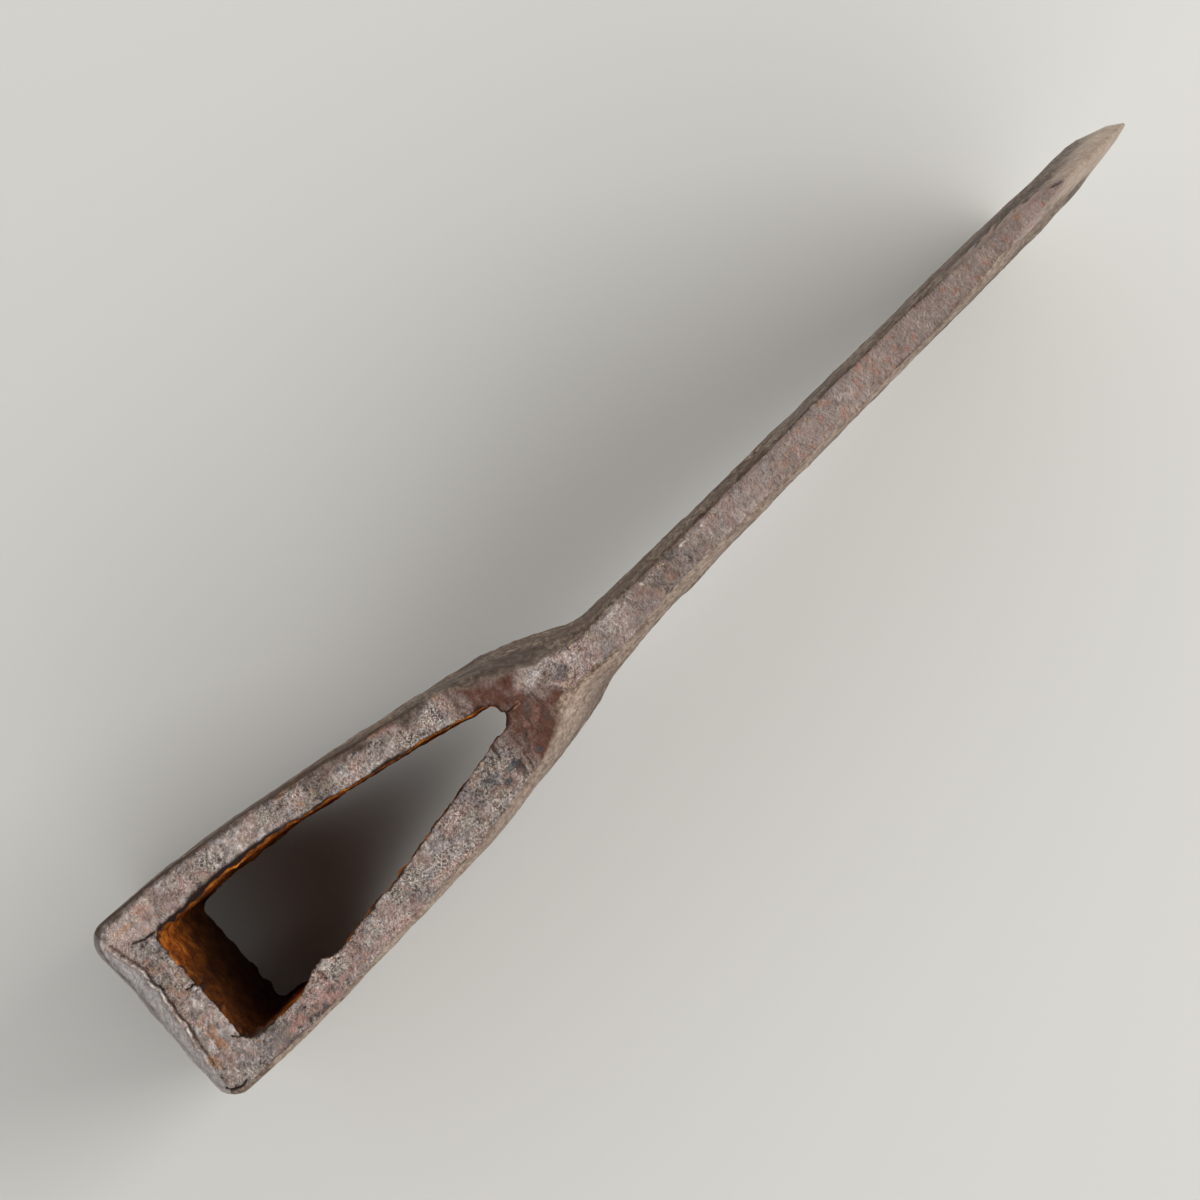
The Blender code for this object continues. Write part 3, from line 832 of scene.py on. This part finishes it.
def ironFinish():
    finish = Finish("forgedIron")
    height, rim, eye = finish.mark("height"), finish.mark("rim"), finish.mark("eye")
    bevel, seam, bare = finish.mark("bevel"), finish.mark("seam"), finish.mark("bare")
    bright, strip = finish.mark("bright"), finish.mark("strip")

    fine = finish.grain(0.50, 2.0)
    coarse = finish.grain(1.6, 3.0, shift=11.0)
    broad = finish.grain(4.0, 3.0, shift=23.0)
    wrinkle = finish.ridge(1.25, 4.0, shift=57.0)
    scale = finish.ridge(0.62, 3.2, shift=87.0)

    tone = 0.5 * coarse + 0.25 * fine + 0.25 * height
    colour = finish.mix(tone.between(0.38, 0.50), rimColours["dark"], rimColours["middle"])
    colour = finish.mix(tone.between(0.50, 0.72), colour, rimColours["light"])
    spots = finish.grain(1.8, 2.0, shift=37.0)
    patches = finish.grain(2.4, 2.0, shift=131.0)
    colour = finish.mix(broad.between(0.46, 0.62) * 0.50, colour, rimColours["pink"])
    colour = finish.mix(patches.between(0.52, 0.66) * 0.35, colour, rimColours["lilac"])
    colour = finish.mix(finish.mark("slate") * 0.8, colour, rimColours["slate"])
    colour = finish.mix(patches.between(0.46, 0.34) * 0.40, colour, rimColours["olive"])
    mellow = finish.mark("mellow")
    colour = finish.mix(spots.between(0.63, 0.72) * (0.55 - 0.5 * mellow), colour, rimColours["blue"])
    colour = finish.mix(spots.between(0.37, 0.28) * 0.50, colour, rimColours["rust"])
    tints = finish.grain(1.7, 2.0, shift=203.0)
    colour = finish.mix(mellow * (0.15 + 0.9 * broad), colour, rimColours["mellow"])
    colour = finish.mix(mellow * tints.between(0.55, 0.65) * 0.75, colour, rimColours["salmon"])
    colour = finish.mix(mellow * tints.between(0.44, 0.32) * 0.5, colour, rimColours["lilac"])
    brownish = finish.mark("red") * (0.58 + 0.85 * coarse)
    colour = finish.mix(brownish, colour, rimColours["brown"])
    rosy = finish.mark("rose") * coarse.between(0.32, 0.56) * (0.35 + 0.9 * fine)
    colour = finish.mix(rosy, colour, rimColours["rose"])

    # worn crests painted bright, partly bare wear and partly painted highlight, with painted shade in the
    # hollows between, strongest where the iron is scaly
    patchy = finish.grain(5.0, 2.0, shift=167.0).between(0.38, 0.56)
    crisp = (1 - finish.mark("smooth")) * (0.35 + 0.75 * patchy)
    crestWearAndHighlight = wrinkle.between(0.45, 0.95) * fine.between(0.46, 0.60) * (0.18 + 0.25 * bright)
    scales = scale.between(0.30, 0.98) * fine.between(0.36, 0.52) * (0.26 + 0.28 * bright)
    crestWearAndHighlight = crestWearAndHighlight.orMore(scales) * crisp * (1 - 0.75 * brownish)
    # painted shade in the hollows of the scale
    hollow = scale.between(0.38, -0.65) * (0.32 + 0.68 * bright) * crisp * (1 - 0.7 * mellow)
    colour = finish.mix(hollow * 0.9, colour, rimColours["dark"])
    colour = finish.mix(crestWearAndHighlight, colour, rimColours["bare"])

    streaks = finish.grain(0.9, 3.0, stretch=(1.0, 1.0, 0.4), shift=5.0)
    mottle = finish.grain(9.0, 7.0, shift=301.0, roughness=0.72)
    stain = finish.grain(22.0, 4.0, shift=331.0, roughness=0.6)
    sideTone = 0.42 * streaks + 0.22 * fine + 0.36 * mottle
    sideColour = finish.ramp(sideTone, sideColours["stops"])
    sideColour = finish.mix(broad.between(0.44, 0.62) * 0.35, sideColour, sideColours["brown"])
    sideColour = finish.mix(stain.between(0.48, 0.62) * 0.6, sideColour, sideColours["brown"])
    sideColour = finish.mix(stain.between(0.48, 0.34) * 0.5, sideColour, sideColours["grey"])
    # painted light on the sides that face it
    pale = finish.ramp(sideTone, sideColours["pale"])
    sideColour = finish.mix(finish.mark("pale") * 0.65, sideColour, pale)
    colour = finish.mix(rim, sideColour, colour)
    colour = finish.mix(strip * 0.5, colour, rimColours["strip"])
    ground = finish.ramp(0.4 * streaks + 0.2 * fine + 0.4 * broad, bevelColours["stops"])
    colour = finish.mix(bevel, colour, ground)

    rustNoise = 0.6 * finish.grain(2.4, 4.0, stretch=(1.0, 1.0, 0.3), shift=71.0) + 0.4 * fine
    rust = finish.ramp(rustNoise, rustColours["stops"])
    rust = finish.mix(patches.between(0.47, 0.60) * 0.6, rust, rustColours["brown"])
    # painted shade down the eye
    rust = finish.mix(finish.mark("sunk") * 0.95, rust, rustColours["deep"])
    rusty = finish.mark("rust") * rustNoise.between(0.34, 0.54)
    colour = finish.mix(rusty, colour, rimColours["rust"])
    # painted shade on the leaning borders, the rolled shoulder and the heel, with the dark lines round the
    # nose
    shade = finish.mark("shade")
    colour = finish.mix(shade * 0.92, colour, rimColours["shade"])
    colour = finish.mix(finish.mark("blue") * 0.85, colour, rimColours["blue"])
    colour = finish.mix(eye.between(0.2, 0.7), colour, rust)
    colour = finish.mix(seam.between(0.20, 0.75), colour, rimColours["seam"])
    # bare worn iron on lips and crests, with the painted highlight along the blade's narrow side
    colour = finish.mix(bare.between(0.45, 0.95) * 0.9, colour, rimColours["bare"])

    metal = 0.45 + 0.40 * crestWearAndHighlight + 0.3 * bare
    metal = metal * (1 - eye) * (1 - seam) * (1 - 0.6 * brownish) * (1 - 0.6 * shade)
    rough = 0.52 - 0.15 * crestWearAndHighlight - 0.12 * bevel - 0.1 * strip + 0.4 * eye + 0.4 * seam
    rimRelief = 0.40 * wrinkle + 0.45 * scale + 0.8 * fine + 1.2 * coarse
    sideRelief = 1.8 * streaks + 1.2 * fine + 2.5 * mottle
    relief = sideRelief + rim * (rimRelief - sideRelief)
    bump = finish.node("ShaderNodeBump", {}, {
        "Strength": 1.0,
        "Distance": iron["bump"] * mm,
        "Height": relief,
    }, "Normal")
    finish.give(Base_Color=colour, Metallic=metal, Roughness=rough, Normal=bump)
    finish.give(Specular_IOR_Level=0.15)
    return finish.material


head = forgeHead()
head.data.materials.clear()
head.data.materials.append(ironFinish())
print("finish laid on")

studio = {
    "floor": (0.595, 0.585, 0.553),
    "floorSize": 10.0,
    "floorRoughness": 0.75,
    "middle": (0, 0, 0.04),      # the point that the lamps face
    # how bright the room is, by the sine of the height above the floor: dark straight overhead
    "room": [(0.0, 0.20), (0.20, 0.33), (0.30, 0.45), (0.45, 1.30), (0.65, 1.38), (0.77, 1.12), (0.87, 0.60),
             (0.94, 0.28), (0.98, 0.05), (1.0, 0.0)],
    "brighter": (0.18, -0.32),    # by how much the room gains towards +X and +Y
    "lamps": [
        # name, turn from +X and rise above the ground in degrees, distance, width, height, power
        ("window", -17, 53, 1.0, 0.45, 0.30, 4.1),
    ],
}


def layFloor():
    bm = bmesh.new()
    bmesh.ops.create_grid(bm, x_segments=1, y_segments=1, size=studio["floorSize"] / 2)
    mesh = bpy.data.meshes.new("floor")
    bm.to_mesh(mesh)
    bm.free()
    floor = asObject("floor", mesh)
    pale = bpy.data.materials.new("paleFloor")
    pale.use_nodes = True
    shader = pale.node_tree.nodes["Principled BSDF"]
    shader.inputs["Base Color"].default_value = (*studio["floor"], 1)
    shader.inputs["Roughness"].default_value = studio["floorRoughness"]
    mesh.materials.append(pale)


def hangLamps():
    middle = Vector(studio["middle"])
    for name, turn, tilt, distance, width, tall, power in studio["lamps"]:
        turn, tilt = math.radians(turn), math.radians(tilt)
        level = math.cos(tilt)
        towards = Vector((level * math.cos(turn), level * math.sin(turn), math.sin(tilt)))
        data = bpy.data.lights.new(name, "AREA")
        data.shape = "RECTANGLE"
        data.size = width
        data.size_y = tall
        data.energy = power
        lamp = bpy.data.objects.new(name, data)
        lamp.location = middle + distance * towards
        lamp.rotation_euler = (-towards).to_track_quat("-Z", "Y").to_euler()
        bpy.context.scene.collection.objects.link(lamp)
    world = bpy.data.worlds.new("room")
    world.use_nodes = True
    room = Nodes(world.node_tree)
    towards = room.node("ShaderNodeTexCoord", output="Generated")
    above = room.node("ShaderNodeSeparateXYZ", {}, {0: towards}, "Z")
    along = room.node("ShaderNodeSeparateXYZ", {}, {0: towards}, "X")
    across = room.node("ShaderNodeSeparateXYZ", {}, {0: towards}, "Y")
    stops = [(sine, (light, light, light)) for sine, light in studio["room"]]
    background = room.tree.nodes["Background"]
    room.feed(background.inputs["Color"], room.ramp(above, stops))
    gainX, gainY = studio["brighter"]
    room.feed(background.inputs["Strength"], 1 + gainX * along + gainY * across)
    bpy.context.scene.world = world
    bpy.context.scene.view_settings.view_transform = "Standard"


camera = {
    "along": 109.2,              # the point it stands over, in millimetres
    "across": 4.05,
    "aboveRim": 712.0,
    "seenAtRim": 213.6,          # the width of the view where the rim lies
    "turn": -41.5,
    "sensor": 36.0,
    "sees": (0.01, 50.0),        # from and to, in metres
}


def standCamera():
    data = bpy.data.cameras.new("camera")
    data.sensor_width = camera["sensor"]
    data.lens = camera["sensor"] * camera["aboveRim"] / camera["seenAtRim"]
    data.clip_start, data.clip_end = camera["sees"]
    stand = bpy.data.objects.new("camera", data)
    stand.location = (
        pollFace + camera["along"] * mm,
        camera["across"] * mm,
        rimTop + camera["aboveRim"] * mm,
    )
    stand.rotation_euler = (0, 0, math.radians(camera["turn"]))
    bpy.context.scene.collection.objects.link(stand)
    bpy.context.scene.camera = stand


layFloor()
hangLamps()
standCamera()
print("studio set")
